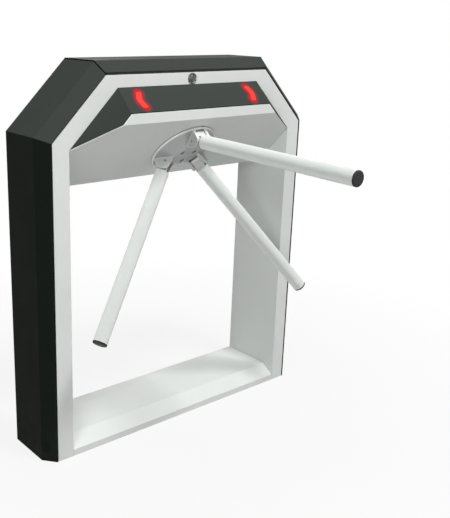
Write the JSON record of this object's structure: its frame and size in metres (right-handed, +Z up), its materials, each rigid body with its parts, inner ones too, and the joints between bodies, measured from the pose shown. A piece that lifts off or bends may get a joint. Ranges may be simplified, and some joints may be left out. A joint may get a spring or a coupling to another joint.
{
  "type": "tripod turnstile",
  "caption": "Floor-standing tripod turnstile: a bevelled portal frame with a sloping mechanism nose, arrow lights, a key lock and a rotor with folding arms on an inclined axis.",
  "frame": {"origin": "on the floor, at the centre of the four anchor holes", "axes": "+Z up, -Y to the front where the nose and the rotor are, +X to the right seen from the front"},
  "size_m": [0.93, 0.7713, 1.042],
  "materials": {
    "light_paint": "light grey powder coat",
    "dark_paint": "anthracite powder coat, fine texture",
    "steel": "dark grey primed structural steel",
    "zinc": "bright zinc plated steel",
    "machined": "turned and milled steel",
    "hub_alloy": "satin cast and machined alloy",
    "arm_tube": "light grey powder coat on steel tube",
    "arm_cap": "black nylon",
    "lens": "red lens, lit from behind",
    "lock": "chrome plated",
    "seal": "black foam rubber",
    "board": "green circuit board",
    "device": "black moulded housing",
    "pinion": "hobbed brass"
  },
  "bodies": {
    "frame": {"bearing_housing": "machined", "bearing_outer_rings": "machined", "cable_grommet": "seal", "chassis_bolts": "zinc", "control_board": "board", "damper_body": "device", "drive_motor": "device", "front_ring_panel": "light_paint", "gear_plate": "zinc", "header_channel": "steel", "indicator_boards": "board", "indicator_lens_left": "lens", "indicator_lens_right": "lens", "leg_liner_left": "light_paint", "leg_liner_right": "light_paint", "lid_hinge_frame_leaves": "zinc", "lid_hinge_pins": "zinc", "lid_seal": "seal", "lock_body": "lock", "nose_hood": "dark_paint", "pawl_pins": "zinc", "plate_pillars": "zinc", "position_sensor": "device", "rear_ring_panel": "light_paint", "side_cover_left": "dark_paint", "side_cover_right": "dark_paint", "sill_channel": "steel", "sill_cover": "light_paint", "solenoid_bodies": "device", "underside_panel": "light_paint", "upright_left": "steel", "upright_right": "steel"},
    "lid": {"top_lid": "dark_paint", "lid_hinge_lid_leaves": "zinc", "lid_keeper": "zinc"},
    "lock_cylinder": {"lock_plug": "lock", "lock_cam": "zinc"},
    "rotor": {"rotor_shaft": "machined", "hub_casting": "hub_alloy", "hub_bolts": "zinc", "fork_pins": "zinc", "bearing_inner_rings": "machined", "index_disc": "machined", "main_gear": "machined", "shaft_nut": "zinc"},
    "drive_gear": {"drive_pinion": "pinion"},
    "damper_gear": {"damper_pinion": "pinion"},
    "pawl_arm_left": {"pawl_left": "machined"},
    "pawl_arm_right": {"pawl_right": "machined"},
    "solenoid_plunger_left": {"plunger_left": "machined"},
    "solenoid_plunger_right": {"plunger_right": "machined"},
    "arm_front": {"arm_knuckle_front": "hub_alloy", "arm_tube_front": "arm_tube", "arm_cap_front": "arm_cap"},
    "arm_left": {"arm_knuckle_left": "hub_alloy", "arm_tube_left": "arm_tube", "arm_cap_left": "arm_cap"},
    "arm_right": {"arm_knuckle_right": "hub_alloy", "arm_tube_right": "arm_tube", "arm_cap_right": "arm_cap"}
  },
  "joints": [
    {"name": "rotor_spin", "type": "hinge", "parent": "frame", "child": "rotor", "pos_m": [0, -0.069, 0.80129], "axis": [0, -0.7071, -0.7071], "continuous": true},
    {"name": "arm_fold_front", "type": "hinge", "parent": "rotor", "child": "arm_front", "pos_m": [0, -0.13158, 0.82993], "axis": [1, 0, 0], "range_deg": [0, 85]},
    {"name": "arm_fold_left", "type": "hinge", "parent": "rotor", "child": "arm_left", "pos_m": [-0.05586, -0.06317, 0.76152], "axis": [-0.5, -0.6124, 0.6124], "range_deg": [0, 45]},
    {"name": "arm_fold_right", "type": "hinge", "parent": "rotor", "child": "arm_right", "pos_m": [0.05586, -0.06317, 0.76152], "axis": [-0.5, 0.6124, -0.6124], "range_deg": [0, 45]},
    {"name": "lid_swing", "type": "hinge", "parent": "frame", "child": "lid", "pos_m": [0, 0.1055, 1.0125], "axis": [-1, 0, 0], "range_deg": [0, 100]},
    {"name": "lock_turn", "type": "hinge", "parent": "frame", "child": "lock_cylinder", "pos_m": [0, -0.101, 0.9925], "axis": [0, 1, 0], "range_deg": [0, 90]},
    {"name": "drive_pinion_spin", "type": "hinge", "parent": "frame", "child": "drive_gear", "pos_m": [0, 0.05121, 0.80836], "axis": [0, -0.7071, -0.7071], "continuous": true},
    {"name": "damper_pinion_spin", "type": "hinge", "parent": "frame", "child": "damper_gear", "pos_m": [0, -0.06193, 0.9215], "axis": [0, -0.7071, -0.7071], "continuous": true},
    {"name": "pawl_swing_right", "type": "hinge", "parent": "frame", "child": "pawl_arm_right", "pos_m": [0.07816, -0.01146, 0.85406], "axis": [0, -0.7071, -0.7071], "range_deg": [0, 14.1]},
    {"name": "plunger_slide_right", "type": "slide", "parent": "frame", "child": "solenoid_plunger_right", "axis": [0.866, -0.3536, 0.3536], "range_m": [0, 0.0078], "stiffness_N_per_m": 150, "springref_m": -0.004},
    {"name": "pawl_swing_left", "type": "hinge", "parent": "frame", "child": "pawl_arm_left", "pos_m": [-0.07816, -0.01146, 0.85406], "axis": [0, 0.7071, 0.7071], "range_deg": [0, 14.1]},
    {"name": "plunger_slide_left", "type": "slide", "parent": "frame", "child": "solenoid_plunger_left", "axis": [-0.866, -0.3536, 0.3536], "range_m": [0, 0.0078], "stiffness_N_per_m": 150, "springref_m": -0.004}
  ],
  "couplings": [
    {"joint": "drive_pinion_spin", "follows": "rotor_spin", "ratio": -3},
    {"joint": "damper_pinion_spin", "follows": "rotor_spin", "ratio": -3},
    {"joint": "pawl_swing_right", "follows": "plunger_slide_right", "rad_per_m": 31.25},
    {"joint": "pawl_swing_left", "follows": "plunger_slide_left", "rad_per_m": 31.25}
  ]
}
